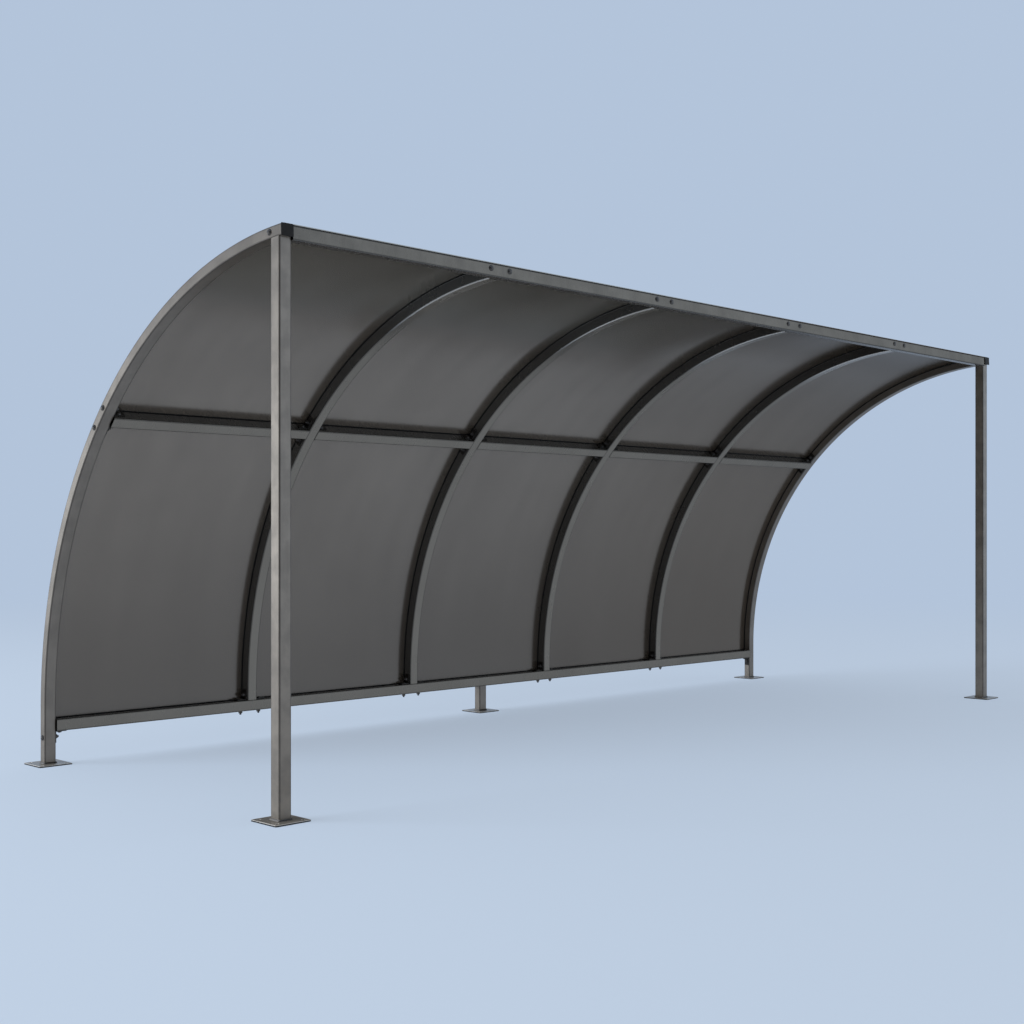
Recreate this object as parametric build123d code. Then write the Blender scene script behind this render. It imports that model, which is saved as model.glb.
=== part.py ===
from build123d import *
from math import acos, cos, degrees, radians, sin, sqrt
import os

# Open quarter-arch bike shelter: six curved tube ribs carry curved sheets, the two end ribs run down
# to the ground behind and rest on two posts in front, and rails tie the ribs together.
# X runs along the shelter, +Y points from the open front to the back, Z is up, and the ground is Z = 0.
# The origin is on the ground under the middle of the shelter's box. Sizes are in millimetres.

# Length
bays = 5
bay = 1000.0

# Tube of the end ribs, front rail and middle foot, depth of the inner ribs and other rails, and the posts
tube_wide = 50.0
tube_deep = 40.0
inner_deep = 50.0
tube_wall = 2.5
post_size = 50.0
post_wall = 3.0

# Arch: the inner face of the end ribs is a vertical leg and one arc, which ends past the posts by the nose
arch_radius = 1730.0
arch_height = 230.0
clear_depth = 1655.0
nose = 9.0

# Rails: the bottom rail's height, and where the mid rails lie on the arch, in degrees from level
rail_bottom = 138.0
mid_angle = 42.9

# Base plates and their anchor holes
plate_size = 145.0
plate_thick = 6.0
plate_corner = 6.0
anchor_hole = 12.0
anchor_edge = 20.0

# Curved sheets
sheet_thick = 3.0
sheet_joint = 3.0
sheet_setback = 12.0
sheet_bottom = 145.0

# Angle brackets
bracket_leg = 50.0
bracket_wide = 30.0
bracket_thick = 4.0
bracket_bend = 5.0

# Plastic caps in the front ends of the end ribs
cap_thick = 4.0
cap_lip = 1.5
cap_depth = 18.0
cap_clearance = 0.2
cap_corner = 3.0

# How far a cutting shape reaches past the faces that it cuts
cut_past = 10.0

# Places that follow from the sizes above
rib_x = [bay * (k - bays / 2) for k in range(bays + 1)]
half_wide = tube_wide / 2
rail_from = rib_x[0] + half_wide
rail_to = rib_x[-1] - half_wide
post_front = -(clear_depth + post_size / 2 + tube_deep / 2) / 2
post_y = post_front + post_size / 2
leg_front = post_front + clear_depth
leg_y = leg_front + tube_deep / 2
leg_back = leg_front + tube_deep
inner_y = leg_back - inner_deep / 2
arch_y = leg_front - arch_radius
outer_radius = arch_radius + tube_deep
middle_radius = arch_radius + tube_deep / 2
end_angle = degrees(acos((post_front - nose - arch_y) / middle_radius))
rail_top = rail_bottom + tube_wide
front_seat = sqrt(outer_radius**2 - tube_deep**2)
mid_seat = sqrt(outer_radius**2 - half_wide**2)

along = Vector(1, 0, 0)
upward = Vector(0, 0, 1)


def outward(angle):
    """Direction away from the centre of the arch."""
    return Vector(0, cos(radians(angle)), sin(radians(angle)))


def forward(angle):
    """Direction along the arch, up and towards the front."""
    return Vector(0, -sin(radians(angle)), cos(radians(angle)))


def arch_point(x, angle, radius, ahead=0.0):
    """Point at a radius of the arch, moved along the tangent there."""
    return Vector(x, arch_y, arch_height) + outward(angle) * radius + forward(angle) * ahead


def hollow(wide, deep, wall):
    """Section of a rectangular tube."""
    return Rectangle(wide, deep) - Rectangle(wide - 2 * wall, deep - 2 * wall)


def straight_tube(section, start, direction, wide_way, length):
    """Tube from a point along a direction, with its wide side along wide_way."""
    return extrude(Plane(start, wide_way, direction) * section, length)


def post(x):
    """Front post, its top cut to the underside of the end rib."""
    section = hollow(post_size, post_size, post_wall)
    highest = arch_height + arch_radius
    tube = straight_tube(section, Vector(x, post_y, plate_thick), upward, along, highest)
    across = post_size + 2 * cut_past
    under_rib = Plane((x, arch_y, arch_height), upward, along) * Cylinder(arch_radius, across)
    return tube & under_rib


def rib(x, foot, deep):
    """Curved rib: a leg from its foot and an arc to the front, its outer face in line with all the others."""
    base = Plane((x, leg_back - deep / 2, arch_height), along, upward)
    section = base * hollow(tube_wide, deep, tube_wall)
    arc = revolve(section, Axis((x, arch_y, arch_height), along), end_angle)
    leg = extrude(section, foot - arch_height)
    return arc + leg


def front_space():
    """Space from the back of the front rail forwards, which the inner ribs leave free."""
    deep = tube_deep + cut_past
    tall = inner_deep + 2 * cut_past
    middle = arch_point(0, end_angle, middle_radius, deep / 2 - tube_deep)
    return Plane(middle, along, outward(end_angle)) * Box(rail_to - rail_from, deep, tall)


def arch_rail(x_from, x_to, angle, ahead, seat, tall, deep):
    """Rail across the ribs, turned to the arch, its outer face at the seat radius."""
    section = hollow(tall, deep, tube_wall)
    start = arch_point(x_from, angle, seat - tall / 2, ahead - deep / 2)
    return straight_tube(section, start, along, outward(angle), x_to - x_from)


def front_rail():
    """Top rail along the front, its back top edge on the underside of the sheets."""
    return arch_rail(rail_from, rail_to, end_angle, 0.0, front_seat, tube_wide, tube_deep)


def mid_rail(k):
    """Rail of one bay, its outer edges on the sheet and its inner face level with the inner ribs."""
    x_from = rib_x[k] + half_wide
    x_to = rib_x[k + 1] - half_wide
    return arch_rail(x_from, x_to, mid_angle, half_wide, mid_seat, inner_deep, tube_wide)


def bottom_rail():
    """Rail behind, near the ground, on which the inner ribs stand."""
    section = hollow(tube_wide, inner_deep, tube_wall)
    start = Vector(rail_from, inner_y, rail_bottom + half_wide)
    return straight_tube(section, start, along, upward, rail_to - rail_from)


def centre_foot():
    """Short tube from the middle base plate up to the bottom rail."""
    section = hollow(tube_wide, tube_deep, tube_wall)
    start = Vector(0, inner_y, plate_thick)
    return straight_tube(section, start, upward, along, rail_bottom - plate_thick)


def base_plate(x, y):
    """Square plate with an anchor hole near each corner."""
    pitch = plate_size - 2 * anchor_edge
    outline = RectangleRounded(plate_size, plate_size, plate_corner)
    outline -= GridLocations(pitch, pitch, 2, 2) * Circle(anchor_hole / 2)
    return extrude(Plane((x, y, 0)) * outline, plate_thick)


def rib_cap(x):
    """Plastic cap: a lip over the end of the rib and a hollow plug inside it."""
    face = Plane(arch_point(x, end_angle, middle_radius), along, forward(end_angle))
    lip = extrude(face * RectangleRounded(tube_wide, tube_deep + 2 * cap_lip, cap_corner), cap_thick)
    slack = 2 * (tube_wall + cap_clearance)
    plug = extrude(face * hollow(tube_wide - slack, tube_deep - slack, tube_wall), -cap_depth)
    return lip + plug


def panel(k):
    """Curved sheet of one bay, on the outside of the ribs, from the bottom rail to the front."""
    x_from = rib_x[k] + sheet_joint / 2
    x_to = rib_x[k + 1] - sheet_joint / 2
    if k == 0:
        x_from = rib_x[k] - half_wide + sheet_setback
    if k == bays - 1:
        x_to = rib_x[k + 1] + half_wide - sheet_setback
    middle = (x_from + x_to) / 2
    base = Plane((middle, leg_y + (tube_deep + sheet_thick) / 2, arch_height), along, upward)
    edge = base * Rectangle(x_to - x_from, sheet_thick)
    arc = revolve(edge, Axis((middle, arch_y, arch_height), along), end_angle)
    return arc + extrude(edge, sheet_bottom - arch_height)


def bracket(corner, first, second):
    """Folded angle bracket in a corner, one leg along each of two directions."""
    outline = Polyline(
        (0, 0),
        (bracket_leg, 0),
        (bracket_leg, bracket_thick),
        (bracket_thick, bracket_thick),
        (bracket_thick, bracket_leg),
        (0, bracket_leg),
        close=True,
    )
    profile = make_face(outline)
    bend = profile.vertices().sort_by_distance((0, 0))[0]
    angle = extrude(fillet(bend, bracket_bend), bracket_wide / 2, both=True)
    return Plane(corner, first, first.cross(second)) * angle


def sides(k):
    """Sides of a rib that face a bay: both, or the inner one on an end rib."""
    return [side for side in (-1, 1) if 0 <= k + (side - 1) / 2 < bays]


def brackets_at(ribs, place, second):
    """One bracket on each side of each rib that faces a bay, its corner where place gives it."""
    pieces = []
    for k in ribs:
        for side in sides(k):
            corner = place(rib_x[k] + side * half_wide)
            pieces.append(bracket(corner, along * side, second))
    return Compound(pieces)


def behind_front_rail(x):
    return arch_point(x, end_angle, middle_radius, -tube_deep)


def above_mid_rail(x):
    return arch_point(x, mid_angle, middle_radius, half_wide)


def below_mid_rail(x):
    return arch_point(x, mid_angle, middle_radius, -half_wide)


def on_bottom_rail(x):
    return Vector(x, inner_y, rail_top)


def under_bottom_rail(x):
    return Vector(x, leg_y, rail_bottom)


os.makedirs("parts", exist_ok=True)


def save(node, shape):
    """Write one node."""
    export_step(shape, f"parts/{node}.step")


for side, x in {"left": rib_x[0], "right": rib_x[-1]}.items():
    save(f"front_post_{side}", post(x))
    save(f"front_plate_{side}", base_plate(x, post_y))
    save(f"end_rib_{side}", rib(x, plate_thick, tube_deep))
    save(f"rear_plate_{side}", base_plate(x, leg_y))
    save(f"rib_cap_{side}", rib_cap(x))

inner_ribs = range(1, bays)
for k in inner_ribs:
    save(f"rib_{k}", rib(rib_x[k], rail_top, inner_deep) - front_space())

save("front_rail", front_rail())
save("bottom_rail", bottom_rail())
save("centre_plate", base_plate(0, inner_y))
save("centre_foot", centre_foot())

for k in range(bays):
    save(f"mid_rail_{k + 1}", mid_rail(k))
    save(f"panel_{k + 1}", panel(k))

all_ribs = range(bays + 1)
save("front_brackets", brackets_at(all_ribs, behind_front_rail, -forward(end_angle)))
save("mid_upper_brackets", brackets_at(all_ribs, above_mid_rail, forward(mid_angle)))
save("mid_lower_brackets", brackets_at(all_ribs, below_mid_rail, -forward(mid_angle)))
save("bottom_brackets", brackets_at(inner_ribs, on_bottom_rail, upward))
save("foot_brackets", brackets_at([0, bays], under_bottom_rail, -upward))
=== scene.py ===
from math import acos, cos, pi, radians, sin, sqrt

import bmesh
import bpy
from mathutils import Matrix, Vector


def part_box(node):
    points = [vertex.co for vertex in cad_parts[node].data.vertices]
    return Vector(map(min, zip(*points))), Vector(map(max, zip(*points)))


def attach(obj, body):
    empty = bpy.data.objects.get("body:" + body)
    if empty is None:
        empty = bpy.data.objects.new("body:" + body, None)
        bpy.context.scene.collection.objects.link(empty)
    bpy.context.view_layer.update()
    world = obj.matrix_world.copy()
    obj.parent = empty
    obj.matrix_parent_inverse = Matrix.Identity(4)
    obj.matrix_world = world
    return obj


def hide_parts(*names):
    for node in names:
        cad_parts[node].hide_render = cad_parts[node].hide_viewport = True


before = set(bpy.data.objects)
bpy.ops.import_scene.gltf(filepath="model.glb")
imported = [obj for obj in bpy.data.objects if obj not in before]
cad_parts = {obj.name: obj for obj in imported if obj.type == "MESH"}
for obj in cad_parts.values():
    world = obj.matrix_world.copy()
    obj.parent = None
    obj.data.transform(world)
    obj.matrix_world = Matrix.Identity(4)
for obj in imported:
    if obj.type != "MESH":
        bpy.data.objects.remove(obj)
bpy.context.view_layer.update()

# Sizes in metres: tubes of the ribs, rails and posts
tube_wide = 0.050
tube_deep = 0.040
inner_deep = 0.050
tube_wall = 0.0025
tube_corner = 0.0045
tube_flat_keep = 0.0015
post_size = 0.050
post_wall = 0.003
corner_steps = 4
post_rise = 1.0
tiny = 0.00001

# Arch of the ribs and sheets
arch_radius = 1.730
arch_height = 0.230
arch_steps = 96
mid_angle = radians(42.9)
nose = 0.009
sheet_thick = 0.003
sheet_edge = 0.0007
sheet_edge_steps = 2
sheet_bottom = 0.145

# Brackets, plates and caps
bracket_thick = 0.004
bracket_edge = 0.0006
hole_from_rib = 0.025
plate_size = 0.145
plate_corner = 0.006
plate_edge = 0.0012
plate_hole = 0.006
plate_hole_edge = 0.0007
plate_border = 0.002
anchor_edge = 0.020
cap_edge = 0.0012
cap_edge_steps = 3
crease = radians(38)
flat_angle = radians(1)
nearly_level = 0.999

# Fasteners
head_radius = 0.0115
head_rim = 0.0012
head_height = 0.0072
washer_radius = 0.0105
washer_thick = 0.002
nut_radius = 0.0095
nut_thick = 0.008
stud_radius = 0.005
stud_past = 0.007
thread_pitch = 0.0015
thread_depth = 0.0008
turn_steps = 28
dome_steps = 7
nut_edge = 0.0005

# Sheet screws along the ribs, outside
screw_pitch = 0.300
screw_off_joint = 0.0125
screw_head = 0.0042
screw_head_top = 0.00378
screw_head_high = 0.0032
screw_washer = 0.0065
screw_washer_thick = 0.0012
screw_edge = 0.0003
screw_end = 0.4

# Sealant where the tubes meet the sheets, which also stands in for the contact shadow there
bead_size = 0.0045
bead_hollow = 0.0008

# Welds at the feet of the posts and legs; each ring inwards has its share of the bead's width and height
weld_size = 0.0060
weld_rings = ((0.2, 0.45), (0.3, 0.3), (0.5, 0.25))
weld_ripple = 0.0006
weld_pitch = 0.0038
weld_cuts = 40
weld_corner_steps = 6

along = Vector((1, 0, 0))
upward = Vector((0, 0, 1))


# Places, read from the frame

def low(node):
    """Lowest corner of a node's box."""
    return Vector(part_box(node)[0])


def high(node):
    """Highest corner of a node's box."""
    return Vector(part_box(node)[1])


def middle(node):
    """Middle of a node's box."""
    return (low(node) + high(node)) / 2


rib_nodes = ["end_rib_left", "rib_1", "rib_2", "rib_3", "rib_4", "end_rib_right"]
rib_x = [middle(node).x for node in rib_nodes]
bays = len(rib_x) - 1
half_wide = tube_wide / 2
rail_from = low("front_rail").x
rail_to = high("front_rail").x
leg_y = middle("rear_plate_left").y
leg_back = leg_y + tube_deep / 2
inner_y = middle("centre_foot").y
post_y = middle("front_plate_left").y
plate_top = high("rear_plate_left").z
rail_bottom = low("bottom_rail").z
rail_top = high("bottom_rail").z
arch_y = leg_y - tube_deep / 2 - arch_radius
outer_radius = arch_radius + tube_deep
middle_radius = arch_radius + tube_deep / 2
end_angle = acos((post_y - post_size / 2 - nose - arch_y) / middle_radius)
rib_end_angle = end_angle - tube_deep / middle_radius
front_seat = sqrt(outer_radius**2 - tube_deep**2)
mid_seat = sqrt(outer_radius**2 - half_wide**2)


def outward(angle):
    """Direction away from the centre of the arch."""
    return Vector((0, cos(angle), sin(angle)))


def forward(angle):
    """Direction along the arch, up and towards the front."""
    return Vector((0, -sin(angle), cos(angle)))


def arch_point(x, angle, radius, ahead=0.0):
    """Point at a radius of the arch, moved along the tangent there."""
    return Vector((x, arch_y, arch_height)) + outward(angle) * radius + forward(angle) * ahead


def placing(origin, x_way, z_way):
    """Places a shape drawn round the origin, its X along x_way and its Z along z_way."""
    turn = Matrix((x_way, z_way.cross(x_way), z_way)).transposed().to_4x4()
    return Matrix.Translation(origin) @ turn


def facing(origin, z_way):
    """Places a round shape with its Z along z_way."""
    return Matrix.Translation(origin) @ z_way.to_track_quat("Z", "Y").to_matrix().to_4x4()


# Shader nodes

def set_inputs(tree, node, values):
    """Feeds inputs, by title or number, from sockets, plain numbers or plain RGB."""
    for key, value in values.items():
        target = node.inputs[key]
        if isinstance(value, bpy.types.NodeSocket):
            tree.links.new(value, target)
        elif target.type == "RGBA":
            target.default_value = (*value, 1.0)
        else:
            target.default_value = value


def math_node(tree, operation, *values):
    """Math node on sockets or plain numbers; gives its output."""
    node = tree.nodes.new("ShaderNodeMath")
    node.operation = operation
    set_inputs(tree, node, dict(enumerate(values)))
    return node.outputs[0]


def times(tree, first, second):
    """Product of two sockets or plain numbers; gives its output."""
    return math_node(tree, "MULTIPLY", first, second)


def place_parts(tree):
    """Object coordinates; gives the outputs X, Y and Z."""
    where = tree.nodes.new("ShaderNodeTexCoord")
    parts = tree.nodes.new("ShaderNodeSeparateXYZ")
    tree.links.new(where.outputs["Object"], parts.inputs["Vector"])
    return parts.outputs


def normal_parts(tree):
    """The way a surface looks; gives the outputs X, Y and Z."""
    shape = tree.nodes.new("ShaderNodeNewGeometry")
    parts = tree.nodes.new("ShaderNodeSeparateXYZ")
    tree.links.new(shape.outputs["Normal"], parts.inputs["Vector"])
    return parts.outputs


def noise_node(tree, scale, detail, roughness, stretch=None):
    """Noise over Object coordinates; gives its output."""
    where = tree.nodes.new("ShaderNodeTexCoord").outputs["Object"]
    if stretch:
        mapping = tree.nodes.new("ShaderNodeMapping")
        set_inputs(tree, mapping, {"Vector": where, "Scale": stretch})
        where = mapping.outputs["Vector"]
    noise = tree.nodes.new("ShaderNodeTexNoise")
    set_inputs(tree, noise, {"Vector": where, "Scale": scale, "Detail": detail, "Roughness": roughness})
    return noise.outputs[0]


def rise_node(tree, value, low_end, high_end, from_share=0.0, to_share=1.0):
    """Smooth step of a value between two ends; gives its output."""
    node = tree.nodes.new("ShaderNodeMapRange")
    node.interpolation_type = "SMOOTHSTEP"
    set_inputs(tree, node, {
        "Value": value, "From Min": low_end, "From Max": high_end, "To Min": from_share,
        "To Max": to_share})
    return node.outputs["Result"]


def fall_node(tree, value, low_end, high_end):
    """Smooth step from 1 at the low end down to 0 at the high end; gives its output."""
    return rise_node(tree, value, low_end, high_end, 1.0, 0.0)


def mix_colours(tree, share, first, second):
    """Mix of two colours, each a socket or plain RGB; gives its output."""
    node = tree.nodes.new("ShaderNodeMix")
    node.data_type = "RGBA"
    colours = [index for index, socket in enumerate(node.inputs) if socket.type == "RGBA"]
    set_inputs(tree, node, {"Factor": share, **dict(zip(colours, (first, second)))})
    return [socket for socket in node.outputs if socket.type == "RGBA"][0]


# Shader node groups, each used by several materials

def start_group(name, inputs, outputs):
    """New node group with float inputs, each with a value; gives what it takes in, and its last node."""
    tree = bpy.data.node_groups.new(name, "ShaderNodeTree")
    for title, value in inputs.items():
        socket = tree.interface.new_socket(name=title, in_out="INPUT", socket_type="NodeSocketFloat")
        socket.default_value = value
    for title in outputs:
        tree.interface.new_socket(name=title, in_out="OUTPUT", socket_type="NodeSocketFloat")
    return tree, tree.nodes.new("NodeGroupInput").outputs, tree.nodes.new("NodeGroupOutput")


def make_coat_grain():
    """Orange peel of a powder coat: fine height and a faint speckle."""
    coarse_scale = 0.22
    coarse_share = 0.8
    speckle_ends = (0.35, 0.65)
    tree, given, made = start_group("coat grain", {"Scale": 700.0}, ("Height", "Speckle"))
    fine = noise_node(tree, given["Scale"], detail=3.0, roughness=0.6)
    coarse = noise_node(tree, times(tree, given["Scale"], coarse_scale), detail=2.0, roughness=0.5)
    set_inputs(tree, made, {
        "Height": math_node(tree, "MULTIPLY_ADD", coarse, coarse_share, fine),
        "Speckle": rise_node(tree, fine, *speckle_ends)})
    return tree


def make_cloudiness():
    """Soft uneven patches and streaks, as on a coated surface that has stood outdoors."""
    soft_ends = (0.3, 0.7)
    streak_stretch = (5.0, 1.0, 0.8)
    tree, given, made = start_group("cloudiness", {"Scale": 4.0}, ("Patches", "Streaks"))
    patches = noise_node(tree, given["Scale"], detail=4.0, roughness=0.55)
    streaks = noise_node(tree, given["Scale"], detail=5.0, roughness=0.6, stretch=streak_stretch)
    set_inputs(tree, made, {
        "Patches": rise_node(tree, patches, *soft_ends), "Streaks": rise_node(tree, streaks, *soft_ends)})
    return tree


def make_wear_and_corner_shade():
    """Edges from the mesh's own attribute: rubbed in places as wear, or whole unless they look back, the
    mask for painted shade and painted highlights along corners.
    """
    rub_lift = 0.35
    rub_blend = 0.25
    back_ends = (0.1, 0.5)
    tree, given, made = start_group("wear and corner shade", {"Amount": 0.5, "Scale": 160.0}, ("Worn", "Corner"))
    edge = tree.nodes.new("ShaderNodeAttribute")
    edge.attribute_name = "edge"
    broken = noise_node(tree, given["Scale"], detail=4.0, roughness=0.65)
    rub = times(tree, edge.outputs["Fac"], math_node(tree, "ADD", broken, rub_lift))
    limit = math_node(tree, "SUBTRACT", 1.0, given["Amount"])
    worn = rise_node(tree, rub, limit, math_node(tree, "ADD", limit, rub_blend))
    ahead = fall_node(tree, normal_parts(tree)["Y"], *back_ends)
    set_inputs(tree, made, {"Worn": worn, "Corner": times(tree, edge.outputs["Fac"], ahead)})
    return tree


def make_dust_and_low_shade():
    """Dust that settles low down and on faces that look up, painted shade in the lowest millimetres, and a
    fall-off with height for painted shade low down.
    """
    level_ends = (0.3, 0.95)
    level_share = 0.6
    blotch_scale = 45.0
    blotch_ends = (0.3, 0.75)
    foot_shade_ends = (0.0045, 0.0052)
    inputs = {"Reach": 0.25, "Amount": 0.5}
    tree, given, made = start_group("dust and low shade", inputs, ("Dusty", "Foot shade", "Low"))
    height = place_parts(tree)["Z"]
    near = fall_node(tree, height, 0.0, given["Reach"])
    level = rise_node(tree, normal_parts(tree)["Z"], *level_ends)
    blotches = noise_node(tree, blotch_scale, detail=5.0, roughness=0.6)
    reach = math_node(tree, "MAXIMUM", near, times(tree, level, level_share))
    dusty = times(tree, reach, rise_node(tree, blotches, *blotch_ends))
    set_inputs(tree, made, {
        "Dusty": times(tree, dusty, given["Amount"]), "Foot shade": fall_node(tree, height, *foot_shade_ends),
        "Low": near})
    return tree


def make_arch_sides():
    """Sides of a tube, square to the sheets, its faces along them, and how near the top it is."""
    turn_ends = (0.3, 0.8)
    top_ends = (1.78, 1.92)
    tree, given, made = start_group("arch sides", {}, ("Sides", "Faces", "High"))
    place = place_parts(tree)
    above_leg = math_node(tree, "SUBTRACT", place["Z"], arch_height)
    radial = tree.nodes.new("ShaderNodeCombineXYZ")
    set_inputs(tree, radial, {
        "Y": math_node(tree, "SUBTRACT", place["Y"], arch_y),
        "Z": math_node(tree, "MAXIMUM", above_leg, 0.0)})
    unit = tree.nodes.new("ShaderNodeVectorMath")
    unit.operation = "NORMALIZE"
    set_inputs(tree, unit, {0: radial.outputs["Vector"]})
    shape = tree.nodes.new("ShaderNodeNewGeometry")
    along_radial = tree.nodes.new("ShaderNodeVectorMath")
    along_radial.operation = "DOT_PRODUCT"
    set_inputs(tree, along_radial, {0: unit.outputs["Vector"], 1: shape.outputs["Normal"]})
    turned = math_node(tree, "ABSOLUTE", along_radial.outputs["Value"])
    set_inputs(tree, made, {
        "Sides": fall_node(tree, turned, *turn_ends), "Faces": rise_node(tree, turned, *turn_ends),
        "High": rise_node(tree, place["Z"], *top_ends)})
    return tree


coat_grain = make_coat_grain()
cloudiness = make_cloudiness()
wear_and_corner_shade = make_wear_and_corner_shade()
dust_and_low_shade = make_dust_and_low_shade()
arch_sides = make_arch_sides()


# Materials

# Tones of what lies on the coats and of their corners: painted shade along corners, a painted highlight on
# corners near the top, painted shade low down, real dust, and painted shade in the lowest millimetres
corner_shade_tone = (0.02, 0.019, 0.018)
top_corner_highlight = (0.54, 0.53, 0.51)
low_shade_tone = (0.10, 0.09, 0.078)
dust_tone = (0.27, 0.235, 0.19)
foot_shade_tone = (0.009, 0.010, 0.014)

# How much of each effect shows on the coats, and how deep their grain is, in metres
speckle_share = 0.12
side_shading_share = 0.85
worn_share = 0.7
top_light_metal = 0.55
streak_spread = 0.10
dust_shade_spread = 0.35
coat_relief = 0.00005

# Sheets: shares, where their underside changes upwards and along the shelter with painted light and shade,
# and their finish
patch_share = 0.55
low_shade_share = 0.85
right_shade_share = 0.4
sheet_speckle_share = 0.1
sheet_speckle = (0.2, 0.19, 0.18)
underside_ends = (-0.3, 0.3)
high_ends = (1.81, 1.93)
highest_ends = (1.88, 1.96)
left_ends = (-0.4, 0.6)
right_ends = (0.3, 0.9)
right_shade_ends = (-0.5, 2.2)
sheet_relief = 0.000006
sheet_roughness = 0.18
sheet_spread = 0.05
sheet_metal = 0.78
sheet_gloss = 0.25

# Plastic and steel: grain's depth, and how much their roughness varies
plastic_relief = 0.00008
plastic_roughness = 0.42
plastic_spread = 0.12
steel_relief = 0.00004
steel_spread = 0.15


def start_material(name):
    """New material; gives the material, its tree and its shader."""
    material = bpy.data.materials.new(name)
    material.use_nodes = True
    tree = material.node_tree
    return material, tree, tree.nodes["Principled BSDF"]


def use_group(tree, group, **values):
    """Group node with its own values; gives its outputs."""
    node = tree.nodes.new("ShaderNodeGroup")
    node.node_tree = group
    set_inputs(tree, node, values)
    return node.outputs


def bump_node(tree, height, distance):
    """Bump from a height, in metres; gives its output."""
    bump = tree.nodes.new("ShaderNodeBump")
    set_inputs(tree, bump, {"Height": height, "Distance": distance})
    return bump.outputs["Normal"]


def coated_metal(
        name, colour, shade, bare, metallic, roughness, sheen_edge, wear, corners,
        grain=700.0, patches=3.5, dust=0.12, low_shade=0.0,
        side_shading=None, side_shading_colour=(0.10, 0.10, 0.10), side_shading_metal=0.80, top_light=None):
    """Satin metallic coat over steel: worn edges and dust; painted shade on corners that look ahead, low
    down and in the lowest millimetres, side shading on chosen faces, and a painted lighter top with
    highlighted corners.
    """
    material, tree, shader = start_material(name)
    coat = use_group(tree, coat_grain, Scale=grain)
    cloud = use_group(tree, cloudiness, Scale=patches)
    edge = use_group(tree, wear_and_corner_shade, Amount=wear, Scale=170.0)
    dust_shade = use_group(tree, dust_and_low_shade, Reach=0.35, Amount=dust)
    base = mix_colours(tree, cloud["Patches"], colour, shade)
    base = mix_colours(tree, times(tree, coat["Speckle"], speckle_share), base, bare)
    # Painted shade: darker towards the ground, by height.
    base = mix_colours(tree, times(tree, dust_shade["Low"], low_shade), base, low_shade_tone)
    metal = metallic
    # Side shading by how a face is turned to the arch: painted shade on the frame's tube sides and on the
    # welds' front and back, painted light on the top rail's faces.
    if side_shading:
        arch = use_group(tree, arch_sides)
        base = mix_colours(tree, times(tree, arch[side_shading], side_shading_share), base, side_shading_colour)
        metal = math_node(tree, "MULTIPLY_ADD", arch[side_shading], side_shading_metal - metallic, metallic)
    # Painted light: the highest faces that face the arch's centre, or away from it, are lighter and less
    # metallic.
    if top_light:
        highest = times(tree, arch["Faces"], arch["High"])
        base = mix_colours(tree, highest, base, top_light)
        metal = math_node(tree, "MULTIPLY_ADD", highest, top_light_metal - metallic, metal)
    # Painted shade: corners that look ahead are darkened, standing in for the dark reflections along them.
    base = mix_colours(tree, times(tree, edge["Corner"], corners), base, corner_shade_tone)
    # Painted highlight: corners that look ahead near the top are lightened.
    if top_light:
        base = mix_colours(tree, times(tree, edge["Corner"], arch["High"]), base, top_corner_highlight)
    base = mix_colours(tree, times(tree, edge["Worn"], worn_share), base, bare)
    base = mix_colours(tree, dust_shade["Dusty"], base, dust_tone)
    # Painted shade: the lowest millimetres, which are the base plates' sides, turn nearly black.
    base = mix_colours(tree, dust_shade["Foot shade"], base, foot_shade_tone)
    dust_and_foot_shade = math_node(tree, "MAXIMUM", dust_shade["Dusty"], dust_shade["Foot shade"])
    free_of_dust_and_shade = math_node(tree, "SUBTRACT", 1.0, dust_and_foot_shade)
    smoothest = roughness - streak_spread / 2
    spread = math_node(tree, "MULTIPLY_ADD", cloud["Streaks"], streak_spread, smoothest)
    spread = math_node(tree, "MULTIPLY_ADD", dust_and_foot_shade, dust_shade_spread, spread)
    set_inputs(tree, shader, {
        "Base Color": base, "Roughness": spread, "Metallic": times(tree, free_of_dust_and_shade, metal),
        "Specular Tint": (sheen_edge,) * 3, "Normal": bump_node(tree, coat["Height"], coat_relief)})
    return material


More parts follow.
